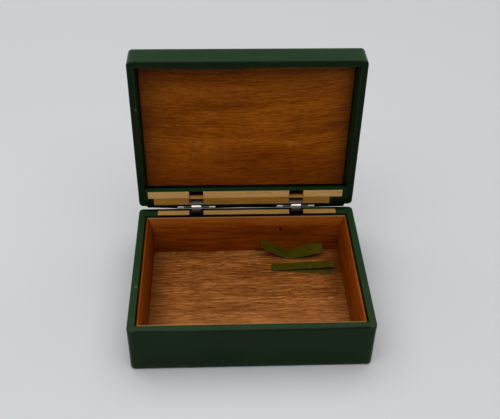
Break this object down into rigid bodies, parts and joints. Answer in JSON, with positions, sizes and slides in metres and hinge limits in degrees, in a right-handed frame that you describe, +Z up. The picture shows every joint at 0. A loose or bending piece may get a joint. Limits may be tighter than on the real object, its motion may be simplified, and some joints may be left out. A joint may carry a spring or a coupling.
{
  "type": "jewelry box",
  "caption": "Shallow hinged jewelry box: wooden case covered in green leathercloth, mitred wooden liner in the base, recessed wooden panel in the lid, spring hinges at the back.",
  "frame": {"origin": "under the middle of the base, on the surface that the box stands on", "axes": "+X to the right, +Y to the back where the hinges are, +Z up; the lid stands open at rest"},
  "size_m": [0.15, 0.132, 0.15],
  "materials": {
    "green_cover": "smooth dark green leathercloth, satin",
    "liner_wood": "oiled reddish-brown wood",
    "floor_wood": "pinkish-brown wood with short dark pores",
    "panel_wood": "satin brown wood, grain left to right",
    "bare_wood": "bare tan wood",
    "hinge_steel": "bright sheet steel",
    "underside_cloth": "dark green flocked sheet",
    "olive_strip": "olive-green leathercloth strip"
  },
  "bodies": {
    "base": {"underside_sheet": "underside_cloth", "bottom_board": "bare_wood", "base_left_wall": "bare_wood", "base_right_wall": "bare_wood", "base_front_wall": "bare_wood", "base_back_wall": "bare_wood", "base_cover": "green_cover", "floor_panel": "floor_wood", "liner_front": "liner_wood", "liner_back": "liner_wood", "liner_left": "liner_wood", "liner_right": "liner_wood", "left_hinge_base_leaf": "hinge_steel", "left_hinge_pin": "hinge_steel", "left_hinge_spring": "hinge_steel", "right_hinge_base_leaf": "hinge_steel", "right_hinge_pin": "hinge_steel", "right_hinge_spring": "hinge_steel", "base_hinge_brads": "hinge_steel", "spring_rivets": "hinge_steel", "bent_strip": "olive_strip", "folded_strip": "olive_strip"},
    "lid": {"lid_left_wall": "bare_wood", "lid_right_wall": "bare_wood", "lid_front_wall": "bare_wood", "lid_back_wall": "bare_wood", "lid_top_board": "bare_wood", "lid_cover": "green_cover", "lid_panel": "panel_wood", "lid_batten": "bare_wood", "batten_facing": "green_cover", "left_hinge_lid_leaf": "hinge_steel", "right_hinge_lid_leaf": "hinge_steel", "lid_hinge_brads": "hinge_steel"}
  },
  "joints": [
    {"name": "lid_hinge", "type": "hinge", "parent": "base", "child": "lid", "pos_m": [0, 0.0577, 0.0353], "axis": [1, 0, 0], "range_deg": [0, 90]}
  ]
}
